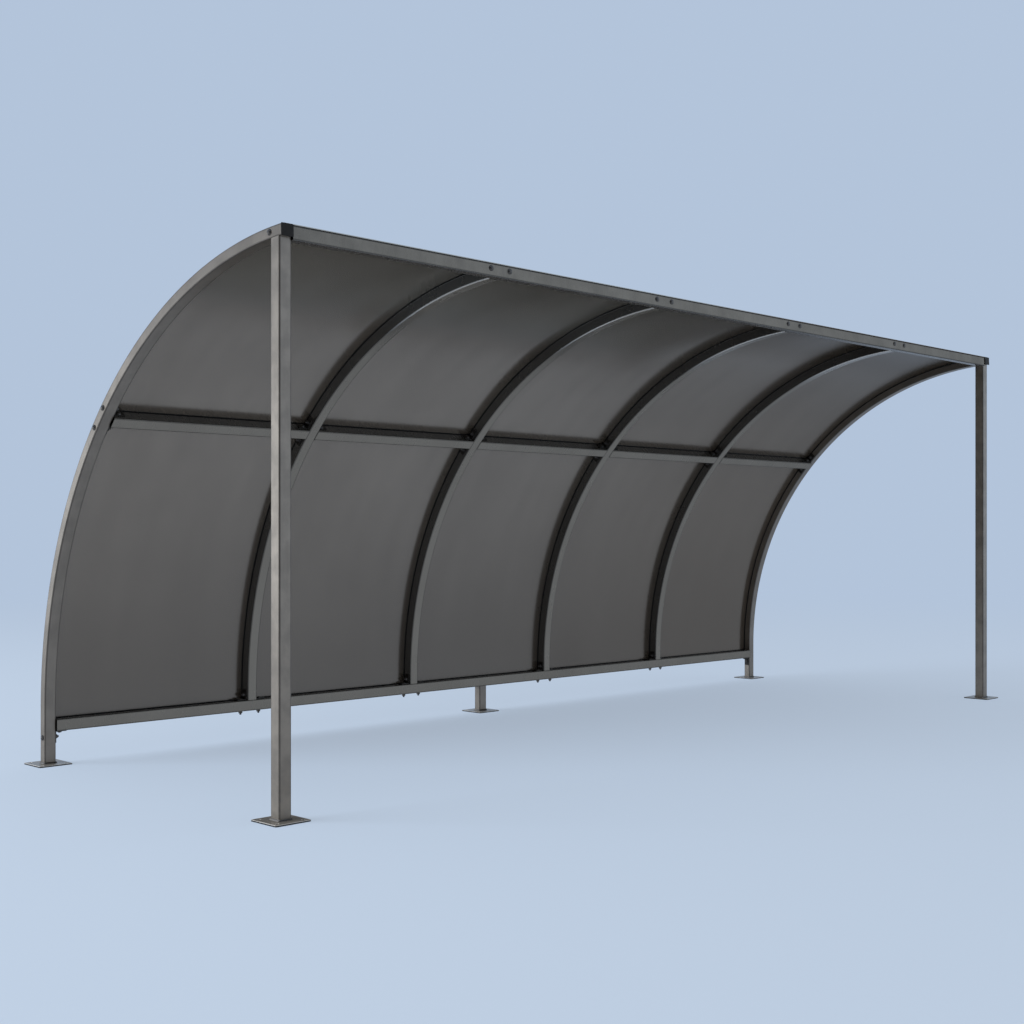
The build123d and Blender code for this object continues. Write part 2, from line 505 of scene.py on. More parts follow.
def sheet_material(name, colour, shade, low_shade_colour, right_shade_colour, top_light, top_shade, sheen_edge):
    """Satin coated sheet, streaked, with painted shade low down; its underside has painted shade towards
    the right end, and near the front a painted lighter left part and painted shade on the right.
    """
    material, tree, shader = start_material(name)
    coat = use_group(tree, coat_grain, Scale=520.0)
    cloud = use_group(tree, cloudiness, Scale=1.6)
    dust_shade = use_group(tree, dust_and_low_shade, Reach=1.5, Amount=0.0)
    streaks = times(tree, cloud["Streaks"], 1 - patch_share)
    uneven = math_node(tree, "MULTIPLY_ADD", cloud["Patches"], patch_share, streaks)
    base = mix_colours(tree, uneven, colour, shade)
    # Painted shade: darker towards the ground, by height.
    base = mix_colours(tree, times(tree, dust_shade["Low"], low_shade_share), base, low_shade_colour)
    place = place_parts(tree)
    looks = normal_parts(tree)
    outwards = math_node(tree, "ADD", looks["Y"], looks["Z"])
    under = fall_node(tree, outwards, *underside_ends)
    right_shade = times(tree, under, rise_node(tree, place["X"], *right_shade_ends, to_share=right_shade_share))
    left = fall_node(tree, place["X"], *left_ends)
    right = rise_node(tree, place["X"], *right_ends)
    high_left = times(tree, rise_node(tree, place["Z"], *high_ends), left)
    high_right = times(tree, rise_node(tree, place["Z"], *highest_ends), right)
    # Painted shade towards the right end of the underside, a painted lighter top on its left, and painted
    # shade at its top on the right.
    base = mix_colours(tree, right_shade, base, right_shade_colour)
    base = mix_colours(tree, times(tree, under, high_left), base, top_light)
    base = mix_colours(tree, times(tree, under, high_right), base, top_shade)
    base = mix_colours(tree, times(tree, coat["Speckle"], sheet_speckle_share), base, sheet_speckle)
    set_inputs(tree, shader, {
        "Base Color": base, "Metallic": sheet_metal, "Specular IOR Level": sheet_gloss,
        "Roughness": math_node(tree, "MULTIPLY_ADD", uneven, sheet_spread, sheet_roughness),
        "Specular Tint": (sheen_edge,) * 3, "Normal": bump_node(tree, coat["Height"], sheet_relief)})
    return material


def plastic_material(name, colour, shade, gloss):
    """Black plastic or sealant with a fine texture."""
    material, tree, shader = start_material(name)
    coat = use_group(tree, coat_grain, Scale=1100.0)
    cloud = use_group(tree, cloudiness, Scale=30.0)
    set_inputs(tree, shader, {
        "Base Color": mix_colours(tree, cloud["Patches"], colour, shade), "Specular IOR Level": gloss,
        "Roughness": math_node(tree, "MULTIPLY_ADD", coat["Speckle"], plastic_spread, plastic_roughness),
        "Normal": bump_node(tree, coat["Height"], plastic_relief)})
    return material


def steel_material(name, colour, shade, roughness, metallic):
    """Plated steel with a fine grain, dulled in patches."""
    material, tree, shader = start_material(name)
    coat = use_group(tree, coat_grain, Scale=1600.0)
    cloud = use_group(tree, cloudiness, Scale=120.0)
    set_inputs(tree, shader, {
        "Base Color": mix_colours(tree, cloud["Patches"], colour, shade), "Metallic": metallic,
        "Roughness": math_node(tree, "MULTIPLY_ADD", cloud["Streaks"], steel_spread, roughness),
        "Normal": bump_node(tree, coat["Height"], steel_relief)})
    return material


# Frame: painted shade on tube sides square to the sheets, on corners that look ahead and low down; a
# painted lighter top with highlighted corners.
frame_coat = coated_metal(
    "frame coat", colour=(0.224, 0.196, 0.161), shade=(0.204, 0.178, 0.146), bare=(0.28, 0.25, 0.215),
    metallic=0.96, roughness=0.26, sheen_edge=0.6, wear=0.05, corners=0.5, low_shade=0.35,
    side_shading="Sides", top_light=(0.28, 0.27, 0.25))
# Top rail: painted light on its faces turned to the arch's centre or away from it, painted shade on corners
# that look ahead.
rail_coat = coated_metal(
    "rail coat", colour=(0.172, 0.152, 0.126), shade=(0.137, 0.121, 0.101), bare=(0.28, 0.25, 0.215),
    metallic=0.96, roughness=0.26, sheen_edge=0.6, wear=0.05, corners=0.5, patches=9.0,
    side_shading="Faces", side_shading_colour=(0.20, 0.195, 0.19), side_shading_metal=0.65)
# End ribs: painted shade on corners that look ahead.
end_coat = coated_metal(
    "end rib coat", colour=(0.203, 0.181, 0.157), shade=(0.163, 0.145, 0.126), bare=(0.32, 0.295, 0.27),
    metallic=0.66, roughness=0.34, sheen_edge=0.7, wear=0.05, corners=0.5, patches=11.0)
# Posts: painted shade on corners that look ahead and low down.
post_coat = coated_metal(
    "post coat", colour=(0.230, 0.205, 0.176), shade=(0.172, 0.153, 0.132), bare=(0.33, 0.305, 0.28),
    metallic=0.60, roughness=0.34, sheen_edge=0.9, wear=0.05, corners=0.55, patches=15.0, dust=0.25,
    low_shade=0.2)
# The plate's edges wear almost whole to a near-white tone: painted highlight along the rims, with some real
# wear.
plate_coat = coated_metal(
    "plate coat", colour=(0.240, 0.225, 0.204), shade=(0.194, 0.181, 0.163), bare=(0.80, 0.77, 0.72),
    metallic=0.60, roughness=0.30, sheen_edge=0.8, wear=0.95, corners=0.0, dust=0.15)
bracket_coat = coated_metal(
    "bracket coat", colour=(0.035, 0.033, 0.031), shade=(0.026, 0.024, 0.022), bare=(0.16, 0.148, 0.135),
    metallic=0.80, roughness=0.32, sheen_edge=0.5, wear=0.40, corners=0.0)
# Welds: painted shade, nearly black, on their faces that look to the front and back.
weld_coat = coated_metal(
    "weld coat", colour=(0.21, 0.195, 0.18), shade=(0.17, 0.158, 0.145), bare=(0.36, 0.335, 0.31),
    metallic=0.60, roughness=0.30, sheen_edge=0.8, wear=0.2, corners=0.0, grain=900.0,
    side_shading="Faces", side_shading_colour=(0.012, 0.011, 0.010), side_shading_metal=0.90)
sheet_coat = sheet_material(
    "sheet coat", colour=(0.244, 0.212, 0.180), shade=(0.203, 0.176, 0.150),
    low_shade_colour=(0.135, 0.117, 0.100), right_shade_colour=(0.140, 0.110, 0.083), top_light=(0.350, 0.338, 0.308),
    top_shade=(0.135, 0.105, 0.076), sheen_edge=0.55)
cap_plastic = plastic_material(
    "cap plastic", colour=(0.015, 0.015, 0.0152), shade=(0.019, 0.019, 0.0192), gloss=0.12)
black_seal_and_shadow = plastic_material(
    "black seal and shadow", colour=(0.004, 0.004, 0.004), shade=(0.006, 0.006, 0.006), gloss=0.08)
dark_steel = steel_material(
    "dark steel", colour=(0.11, 0.10, 0.092), shade=(0.07, 0.064, 0.059), roughness=0.22, metallic=0.85)


# Mesh tools

def new_mesh():
    """Empty bmesh with the edge layer that the wear reads."""
    bm = bmesh.new()
    bm.verts.layers.float.new("edge")
    return bm


def keep_mesh(bm, name):
    """Mesh made from a bmesh, which ends with it."""
    mesh = bpy.data.meshes.new(name)
    bm.to_mesh(mesh)
    bm.free()
    return mesh


def add_object(name, data):
    """New object in the scene."""
    item = bpy.data.objects.new(name, data)
    bpy.context.scene.collection.objects.link(item)
    return item


def finish_piece(name, bm, material, *nodes, slot=None):
    """Closes a mesh, shades it, and makes it a piece that stands for the named nodes."""
    bmesh.ops.remove_doubles(bm, verts=bm.verts, dist=tiny / 10)
    bmesh.ops.recalc_face_normals(bm, faces=bm.faces)
    for face in bm.faces:
        face.smooth = True
    for edge in bm.edges:
        edge.smooth = not edge.is_manifold or edge.calc_face_angle() < crease
    mesh = keep_mesh(bm, name)
    mesh.materials.append(material)
    piece = add_object(name, mesh)
    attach(piece, "root")
    if nodes:
        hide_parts(*nodes)
    return piece


def round_off(bm, geom, size, steps=2, affect="EDGES"):
    """Rounds edges or corners off; gives what it made."""
    return bmesh.ops.bevel(
        bm, geom=geom, offset=size, offset_type="OFFSET", segments=steps, profile=0.5,
        affect=affect, material=-1)


def plain_rectangle(bm, wide, deep):
    """Flat rectangle round the origin; gives its vertices."""
    corners = bmesh.ops.create_grid(bm, x_segments=1, y_segments=1, size=0.5)["verts"]
    bmesh.ops.scale(bm, vec=(wide, deep, 1), verts=corners)
    return corners


def rounded_rectangle(bm, wide, deep, corner, steps=corner_steps):
    """Flat rectangle round the origin with rounded corners."""
    round_off(bm, plain_rectangle(bm, wide, deep), corner, steps, "VERTICES")


def cut_along(bm, point, way):
    """Cuts a mesh along a plane and keeps both sides."""
    everything = bm.verts[:] + bm.edges[:] + bm.faces[:]
    bmesh.ops.bisect_plane(bm, geom=everything, plane_co=point, plane_no=way)


def tube_section(bm, wide, deep, wall, place):
    """Ring of a rounded tube, cut beside its corners so that wear and shading stay there."""
    rounded_rectangle(bm, wide, deep, tube_corner)
    rim = bmesh.ops.inset_region(
        bm, faces=bm.faces[:], thickness=wall, use_even_offset=True, use_boundary=True)["faces"]
    bmesh.ops.delete(bm, geom=[face for face in bm.faces if face not in rim], context="FACES")
    edge = bm.verts.layers.float["edge"]
    for way, half in ((Vector((1, 0, 0)), wide / 2), (Vector((0, 1, 0)), deep / 2)):
        for side in (-1, 1):
            cut_along(bm, way * side * (half - tube_corner - tube_flat_keep), way)
    for vert in bm.verts:
        past_x = abs(vert.co.x) - (wide / 2 - tube_corner) > -tiny
        past_y = abs(vert.co.y) - (deep / 2 - tube_corner) > -tiny
        vert[edge] = float(past_x and past_y)
    bmesh.ops.transform(bm, matrix=place, verts=bm.verts)


def grow(bm, faces, way):
    """Extrudes faces along a vector; gives the new end's faces and vertices."""
    made = bmesh.ops.extrude_face_region(bm, geom=faces)["geom"]
    ends = [item for item in made if isinstance(item, bmesh.types.BMFace)]
    moved = [item for item in made if isinstance(item, bmesh.types.BMVert)]
    bmesh.ops.translate(bm, vec=way, verts=moved)
    return ends, moved


def sweep_arch(bm, faces, angle):
    """Spins faces about the arch's centre line, from level towards the front; gives the end's vertices."""
    rim = {part for face in faces for part in (*face.verts, *face.edges)}
    last = bmesh.ops.spin(
        bm, geom=faces + list(rim), cent=(0, arch_y, arch_height), axis=along, angle=angle,
        steps=arch_steps, use_merge=False, use_duplicate=False)["geom_last"]
    return [item for item in last if isinstance(item, bmesh.types.BMVert)]


# Tubes of the frame

def straight_tube(name, node, wide, deep, wall, start, wide_way, direction, length, coat=frame_coat):
    """Tube from a point along a direction."""
    bm = new_mesh()
    tube_section(bm, wide, deep, wall, placing(start, wide_way, direction))
    grow(bm, bm.faces[:], direction * length)
    return finish_piece(name, bm, coat, node, slot="frame_paint")


def make_rib(name, node, x, foot, angle, deep, coat):
    """Rib: a leg from its foot, then the arc; an inner rib's end is cut along the front rail's back."""
    bm = new_mesh()
    start = Vector((x, leg_back - deep / 2, foot))
    tube_section(bm, tube_wide, deep, tube_wall, placing(start, along, upward))
    ends = grow(bm, bm.faces[:], upward * (arch_height - foot))[0]
    last = sweep_arch(bm, ends, angle)
    if angle < end_angle:
        seat = arch_point(x, end_angle, middle_radius, -tube_deep)
        for vert in last:
            short = (seat - vert.co).dot(forward(end_angle))
            vert.co += forward(angle) * short / forward(angle).dot(forward(end_angle))
    return finish_piece(name, bm, coat, node, slot="frame_paint")


def make_post(name, node, x):
    """Front post, its top cut round to the underside of the end rib."""
    bm = new_mesh()
    start = Vector((x, post_y, plate_top))
    tube_section(bm, post_size, post_size, post_wall, placing(start, along, upward))
    moved = grow(bm, bm.faces[:], upward * post_rise)[1]
    for vert in moved:
        vert.co.z = arch_height + sqrt(arch_radius**2 - (vert.co.y - arch_y) ** 2)
    return finish_piece(name, bm, post_coat, node, slot="frame_paint")


def make_arch_rail(name, node, x_from, x_to, angle, ahead, seat, tall, deep, coat):
    """Rail across the ribs, turned to the arch, its outer face at the seat radius."""
    start = arch_point(x_from, angle, seat - tall / 2, ahead - deep / 2)
    straight_tube(name, node, tall, deep, tube_wall, start, outward(angle), along, x_to - x_from, coat)


# Curved sheets

def make_sheet(name, node):
    """Curved sheet of one bay with eased edges."""
    bm = new_mesh()
    x_from = low(node).x
    x_to = high(node).x
    start = Vector(((x_from + x_to) / 2, leg_y + (tube_deep + sheet_thick) / 2, sheet_bottom))
    rounded_rectangle(bm, x_to - x_from, sheet_thick, sheet_edge, sheet_edge_steps)
    for side in (-1, 1):
        cut_along(bm, along * side * ((x_to - x_from) / 2 - 2 * sheet_thick), along)
    edge = bm.verts.layers.float["edge"]
    for vert in bm.verts:
        vert[edge] = float(abs(vert.co.x) > (x_to - x_from) / 2 - sheet_thick)
    bmesh.ops.transform(bm, matrix=placing(start, along, upward), verts=bm.verts)
    ends = grow(bm, bm.faces[:], upward * (arch_height - sheet_bottom))[0]
    sweep_arch(bm, ends, end_angle)
    return finish_piece(name, bm, sheet_coat, node, slot="sheet")


# Base plates

def make_plate(name, node):
    """Base plate with rounded upper edges and an anchor hole near each corner."""
    bm = new_mesh()
    place = Matrix.Translation((middle(node).x, middle(node).y, 0))
    rounded_rectangle(bm, plate_size, plate_size, plate_corner)
    bmesh.ops.delete(bm, geom=bm.faces[:], context="FACES_ONLY")
    pitch = plate_size / 2 - anchor_edge
    for side in (-1, 1):
        for end in (-1, 1):
            hole = Matrix.Translation((side * pitch, end * pitch, 0))
            bmesh.ops.create_circle(bm, segments=turn_steps, radius=plate_hole, matrix=hole)
    bmesh.ops.triangle_fill(bm, edges=bm.edges[:], use_beauty=True, normal=upward)
    moved = grow(bm, bm.faces[:], upward * plate_top)[1]
    rims = [edge for edge in bm.edges if edge.verts[0] in moved and edge.verts[1] in moved]
    rims = [edge for edge in rims if edge.is_manifold and edge.calc_face_angle() > crease]
    in_outline = plate_size / 2 - anchor_edge + 2 * plate_hole
    outline = [edge for edge in rims if max(abs(edge.verts[0].co.x), abs(edge.verts[0].co.y)) > in_outline]
    holes = [edge for edge in rims if edge not in outline]
    soft = []
    for edges, size in ((outline, plate_edge), (holes, plate_hole_edge)):
        soft += round_off(bm, edges, size)["verts"]
    # The rims and a narrow band inside them are marked for the plate coat's light edge: painted highlight
    # along the rims, partly wear.
    edge_layer = bm.verts.layers.float["edge"]
    for vert in soft:
        vert[edge_layer] = 1.0
    level = [face for face in bm.faces if face.normal.z > nearly_level]
    flat = [face for face in level if face.calc_center_median().z > plate_top - tiny]
    border = bmesh.ops.inset_region(bm, faces=flat, thickness=plate_border, use_even_offset=True)["faces"]
    for vert in {vert for face in flat if face not in border for vert in face.verts}:
        vert[edge_layer] = 0.0
    bmesh.ops.transform(bm, matrix=place, verts=bm.verts)
    return finish_piece(name, bm, plate_coat, node, slot="plate_paint")


# Brackets and caps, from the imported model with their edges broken

def softened_copy(name, node, material, slot, size, steps=2):
    """Copy of a node, merged, with its sharp edges rounded."""
    bm = new_mesh()
    bm.from_mesh(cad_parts[node].data)
    bmesh.ops.remove_doubles(bm, verts=bm.verts, dist=tiny)
    bmesh.ops.dissolve_limit(bm, angle_limit=flat_angle, verts=bm.verts, edges=bm.edges)
    sharp = [edge for edge in bm.edges if edge.is_manifold and edge.calc_face_angle() > crease]
    made = round_off(bm, sharp, size, steps)
    edge_layer = bm.verts.layers.float["edge"]
    rounded = set(made["faces"])
    for vert in made["verts"]:
        vert[edge_layer] = float(rounded.issuperset(vert.link_faces))
    return finish_piece(name, bm, material, node, slot=slot)


# Fasteners, each drawn once round the origin and then stamped into place

def stamp(bm, pattern, place):
    """Adds a placed copy of a pattern, which is no piece itself, to a mesh."""
    copy = pattern.copy()
    copy.transform(place)
    bm.from_mesh(copy)
    bpy.data.meshes.remove(copy)


def turn_profile(bm, profile):
    """Turns a profile of (radius, height) points about Z, closed at both ends."""
    start = [bm.verts.new((radius, 0, height)) for radius, height in profile]
    edges = [bm.edges.new(pair) for pair in zip(start, start[1:])]
    bmesh.ops.spin(
        bm, geom=start + edges, cent=(0, 0, 0), axis=upward, angle=2 * pi, steps=turn_steps,
        use_merge=True, use_duplicate=False)
    bmesh.ops.remove_doubles(bm, verts=bm.verts, dist=tiny / 10)


def dome_profile():
    """Low round head with a short rim."""
    rise = head_height - head_rim
    dome = (head_radius**2 + rise**2) / (2 * rise)
    spread = acos((dome - rise) / dome)
    points = [(0, 0), (head_radius, 0)]
    for step in range(dome_steps + 1):
        angle = spread * (1 - step / dome_steps)
        points.append((dome * sin(angle), head_height - dome + dome * cos(angle)))
    return points


def washer_profile(radius, thick):
    """Disc with a broken upper edge."""
    ease = thick / 4
    return [(0, 0), (radius, 0), (radius, thick - ease), (radius - ease, thick), (0, thick)]


def stud_profile(start):
    """End of a threaded stud: sharp crests, then a small chamfer."""
    root = stud_radius - thread_depth
    crests = int(stud_past / thread_pitch)
    points = [(0, start)]
    for crest in range(crests):
        foot = start + crest * thread_pitch
        points += [(root, foot), (stud_radius, foot + thread_pitch / 2)]
    top = start + crests * thread_pitch
    return points + [(root, top), (root - thread_depth, top + thread_depth), (0, top + thread_depth)]


def hexagon(bm, radius, top_radius, thick, start, ease):
    """Hexagon head or nut with broken edges."""
    stand = Matrix.Translation((0, 0, start + thick / 2))
    made = bmesh.ops.create_cone(
        bm, cap_ends=True, segments=6, radius1=radius, radius2=top_radius, depth=thick,
        matrix=stand)["verts"]
    round_off(bm, list({edge for vert in made for edge in vert.link_edges}), ease)


def head_pattern():
    """Round bolt head."""
    bm = bmesh.new()
    turn_profile(bm, dome_profile())
    return keep_mesh(bm, "bolt head")


def nut_pattern():
    """Washer, nut and threaded end."""
    bm = bmesh.new()
    turn_profile(bm, washer_profile(washer_radius, washer_thick))
    turn_profile(bm, stud_profile(washer_thick + nut_thick))
    hexagon(bm, nut_radius, nut_radius, nut_thick, washer_thick, nut_edge)
    return keep_mesh(bm, "nut")


def screw_pattern():
    """Hexagon sheet screw on its washer."""
    bm = bmesh.new()
    turn_profile(bm, washer_profile(screw_washer, screw_washer_thick))
    hexagon(bm, screw_head, screw_head_top, screw_head_high, screw_washer_thick, screw_edge)
    return keep_mesh(bm, "sheet screw")


bolt_head = head_pattern()
bolt_nut = nut_pattern()
sheet_screw = screw_pattern()


def add_bolt(bm, seat, out, grip):
    """Round-headed bolt through two pieces, with its washer, nut and stud end on the far side."""
    stamp(bm, bolt_head, facing(seat, out))
    stamp(bm, bolt_nut, facing(seat - out * grip, -out))


def sides(k):
    """Sides of a rib that face a bay: both, or the inner one on an end rib."""
    return [side for side in (-1, 1) if 0 <= k + (side - 1) / 2 < bays]


def rib_face(k, side):
    """Face of a rib on one side."""
    return rib_x[k] + side * half_wide


def add_rib_bolt(bm, k, point):
    """Bolt across a rib through the brackets on its sides; on an end rib its head is outside."""
    out = along * (-1 if k == 0 else 1)
    inside = bracket_thick if len(sides(k)) == 2 else 0.0
    seat = point + out * (half_wide + inside)
    add_bolt(bm, seat, out, tube_wide + bracket_thick + inside)


def front_bolts():
    """Bolts of the top rail's brackets."""
    bm = new_mesh()
    for k in range(bays + 1):
        add_rib_bolt(bm, k, arch_point(rib_x[k], end_angle, middle_radius, -tube_deep - hole_from_rib))
        if len(sides(k)) == 2:
            for side in sides(k):
                seat = arch_point(rib_face(k, side) + side * hole_from_rib, end_angle, middle_radius)
                add_bolt(bm, seat, forward(end_angle), tube_deep + bracket_thick)
    return finish_piece("top_rail_bolts", bm, dark_steel)


def middle_bolts():
    """Bolts of the middle rails' brackets, above and below each rail."""
    bm = new_mesh()
    reach = half_wide + hole_from_rib
    for k in range(bays + 1):
        for ahead in (reach, -reach):
            add_rib_bolt(bm, k, arch_point(rib_x[k], mid_angle, middle_radius, ahead))
        for side in sides(k):
            x = rib_face(k, side) + side * hole_from_rib
            seat = arch_point(x, mid_angle, middle_radius, half_wide + bracket_thick)
            add_bolt(bm, seat, forward(mid_angle), tube_wide + 2 * bracket_thick)
    return finish_piece("middle_rail_bolts", bm, dark_steel)


def bottom_bolts():
    """Bolts that hold the inner ribs to the bottom rail, and the rail's ends to the legs."""
    bm = new_mesh()
    for k in range(bays + 1):
        inner = len(sides(k)) == 2
        height = rail_top + hole_from_rib if inner else rail_bottom - hole_from_rib
        y = inner_y if inner else leg_y
        add_rib_bolt(bm, k, Vector((rib_x[k], y, height)))
        for side in sides(k):
            x = rib_face(k, side) + side * hole_from_rib
            if inner:
                add_bolt(bm, Vector((x, y, rail_top + bracket_thick)), upward, tube_wide + bracket_thick)
            else:
                stamp(bm, bolt_head, facing(Vector((x, y, rail_bottom - bracket_thick)), -upward))
    return finish_piece("bottom_rail_bolts", bm, dark_steel)


def sheet_screws():
    """Hexagon screws that hold the sheets to the ribs, in lines beside each joint."""
    bm = new_mesh()
    seat_radius = outer_radius + sheet_thick
    count = int(end_angle * seat_radius / screw_pitch)
    for k in range(bays + 1):
        for side in sides(k):
            x = rib_x[k] + side * screw_off_joint
            for step in range(count + 1):
                angle = end_angle * (step + screw_end) / (count + 2 * screw_end)
                stamp(bm, sheet_screw, facing(arch_point(x, angle, seat_radius), outward(angle)))
    return finish_piece("sheet_screws", bm, dark_steel)


# Sealant beads, also standing in for contact shadow

def bead_outline(bm, place):
    """Section of a bead in a corner: two short legs and a slightly hollow face."""
    middle_point = bead_size / 2 - bead_hollow
    points = [(0, 0), (bead_size, 0), (middle_point, middle_point), (0, bead_size)]
    corners = [bm.verts.new((x, y, 0)) for x, y in points]
    bmesh.ops.transform(bm, matrix=place, verts=corners)
    return bm.faces.new(corners)


def seal_and_shadow_beads():
    """Black sealant along the ribs and rails, in the corners that they make with the sheets, also standing
    in for the contact shadow there.
    """
    bm = new_mesh()
    for k in range(bays + 1):
        start = sheet_bottom if len(sides(k)) == 1 else rail_top
        for side in sides(k):
            corner = Vector((rib_face(k, side), leg_back, start))
            section = bead_outline(bm, placing(corner, along * side, -upward * side))
            ends = grow(bm, [section], upward * (arch_height - start))[0]
            sweep_arch(bm, ends, rib_end_angle)
    for k in range(bays):
        x_from = rib_face(k, 1) + bead_size
        length = rib_face(k + 1, -1) - bead_size - x_from
        for ahead in (-half_wide, half_wide):
            corner = arch_point(x_from, mid_angle, mid_seat, ahead)
            way = forward(mid_angle) * ahead / half_wide
            section = bead_outline(bm, placing(corner, way, along * ahead / half_wide))
            grow(bm, [section], along * length)
        corner = Vector((x_from, leg_back, rail_top))
        section = bead_outline(bm, placing(corner, upward, along))
        grow(bm, [section], along * length)
    return finish_piece("seal_and_shadow_beads", bm, black_seal_and_shadow)


# Welds

def weld_pattern(wide, deep):
    """Bead round the foot of a tube: a sloping ring, full in its middle, with ripples along it."""
    bm = bmesh.new()
    corner = tube_corner + weld_size
    rounded_rectangle(bm, wide + 2 * weld_size, deep + 2 * weld_size, corner, weld_corner_steps)
    long_sides = [edge for edge in bm.edges if edge.calc_length() > 2 * weld_size]
    bmesh.ops.subdivide_edges(bm, edges=long_sides, cuts=weld_cuts)
    bead = []
    height = 0.0
    for share, rise in weld_rings:
        inside = [face for face in bm.faces if face not in bead]
        bead += bmesh.ops.inset_region(
            bm, faces=inside, thickness=weld_size * share, use_even_offset=True, use_boundary=True)["faces"]
        height += weld_size * rise
        for vert in {vert for face in bm.faces if face not in bead for vert in face.verts}:
            vert.co.z = height
    bmesh.ops.delete(bm, geom=[face for face in bm.faces if face not in bead], context="FACES")
    for vert in bm.verts:
        ripple = sin((abs(vert.co.x) - abs(vert.co.y)) * 2 * pi / weld_pitch)
        vert.co.z *= 1 + ripple * weld_ripple / weld_size
    inner_rim = [edge for edge in bm.edges if edge.is_boundary and edge.verts[0].co.z > tiny]
    outer_rim = [edge for edge in bm.edges if edge.is_boundary and edge.verts[0].co.z <= tiny]
    wall = bmesh.ops.extrude_edge_only(bm, edges=inner_rim)["geom"]
    for vert in [item for item in wall if isinstance(item, bmesh.types.BMVert)]:
        vert.co.z = 0.0
    wall_foot = [edge for edge in wall if isinstance(edge, bmesh.types.BMEdge) and edge.is_boundary]
    bmesh.ops.bridge_loops(bm, edges=outer_rim + wall_foot)
    return keep_mesh(bm, "weld")


def welds():
    """Beads where the posts and legs stand on their plates, and at the middle foot."""
    bm = new_mesh()
    post_bead = weld_pattern(post_size, post_size)
    leg_bead = weld_pattern(tube_wide, tube_deep)
    for x in (rib_x[0], rib_x[-1]):
        stamp(bm, post_bead, Matrix.Translation((x, post_y, plate_top)))
        stamp(bm, leg_bead, Matrix.Translation((x, leg_y, plate_top)))
    stamp(bm, leg_bead, Matrix.Translation((middle("centre_foot").x, inner_y, plate_top)))
    return finish_piece("foot_welds", bm, weld_coat, slot="plate_paint")


# The whole shelter

for side, x in (("left", rib_x[0]), ("right", rib_x[-1])):
    make_post(f"post_{side}", f"front_post_{side}", x)
    make_rib(f"outer_rib_{side}", f"end_rib_{side}", x, plate_top, end_angle, tube_deep, end_coat)
    make_plate(f"plate_front_{side}", f"front_plate_{side}")
    make_plate(f"plate_rear_{side}", f"rear_plate_{side}")
    softened_copy(
        f"end_cap_{side}", f"rib_cap_{side}", cap_plastic, "black_plastic", cap_edge, cap_edge_steps)

for k in range(1, bays):
    make_rib(f"inner_rib_{k}", f"rib_{k}", rib_x[k], rail_top, rib_end_angle, inner_deep, frame_coat)

make_plate("plate_centre", "centre_plate")
straight_tube(
    "foot_tube", "centre_foot", tube_wide, tube_deep, tube_wall,
    Vector((middle("centre_foot").x, inner_y, plate_top)), along, upward, rail_bottom - plate_top, end_coat)
straight_tube(
    "low_rail", "bottom_rail", tube_wide, inner_deep, tube_wall,
    Vector((rail_from, inner_y, (rail_bottom + rail_top) / 2)), upward, along, rail_to - rail_from)
make_arch_rail(
    "top_rail", "front_rail", rail_from, rail_to, end_angle, 0.0, front_seat, tube_wide, tube_deep,
    rail_coat)

for k in range(bays):
    make_arch_rail(
        f"middle_rail_{k + 1}", f"mid_rail_{k + 1}", rib_face(k, 1), rib_face(k + 1, -1), mid_angle,
        half_wide, mid_seat, inner_deep, tube_wide, frame_coat)
    make_sheet(f"sheet_{k + 1}", f"panel_{k + 1}")

for row in ("front", "mid_upper", "mid_lower", "bottom", "foot"):
    node = f"{row}_brackets"
    softened_copy(f"dressed_{node}", node, bracket_coat, "bracket_paint", bracket_edge)

front_bolts()
middle_bolts()
bottom_bolts()
sheet_screws()
seal_and_shadow_beads()
welds()


# Floor, world, lamps and camera

# Colours of the backdrop and the floor, and how the floor's shadow is lifted
backdrop = (0.451, 0.552, 0.704)
floor_colour = (0.49, 0.60, 0.75)
floor_glow = (0.540, 0.633, 0.766)
floor_bounce = (0.62, 0.60, 0.57)
floor_roughness = 0.8
shadow_lift = 0.6

# The floor's own colour is whole at one place left of the shelter, a painted pool of light, and melts into
# the backdrop's a long way from it
light_pool_centre = Vector((-3.0, -1.0, 0.0))
floor_near = 0.0
floor_far = 20.0
floor_radius = 60.0
floor_steps = 96

# World and flag
world_colour = (1.0, 0.985, 0.96)
world_strength = 0.7
flag_colour = (0.01, 0.01, 0.01)
flag_roughness = 0.9

# Camera: place, turn from straight ahead, and the photo's focal length, horizon and width in pixels
eye = Vector((-5.272, -4.689, 0.962))
eye_turn = radians(45.03)
focal_pixels = 1399.14
horizon_pixel = 534.42
image_size = 1024
sensor = 36.0


def seen_rays(tree):
    """1 for rays of the camera, of gloss and of glass, 0 for those that only light; gives its output."""
    path = tree.nodes.new("ShaderNodeLightPath")
    either = math_node(tree, "MAXIMUM", path.outputs["Is Camera Ray"], path.outputs["Is Glossy Ray"])
    return math_node(tree, "MAXIMUM", either, path.outputs["Is Transmission Ray"])


def mix_shaders(tree, share, first, second):
    """Mix of two shaders; gives its output."""
    mix = tree.nodes.new("ShaderNodeMixShader")
    set_inputs(tree, mix, dict(enumerate((share, first, second))))
    return mix.outputs[0]


def glow_node(tree, colour):
    """Emission of a colour as written; gives its output."""
    glow = tree.nodes.new("ShaderNodeEmission")
    set_inputs(tree, glow, {"Color": colour})
    return glow.outputs[0]


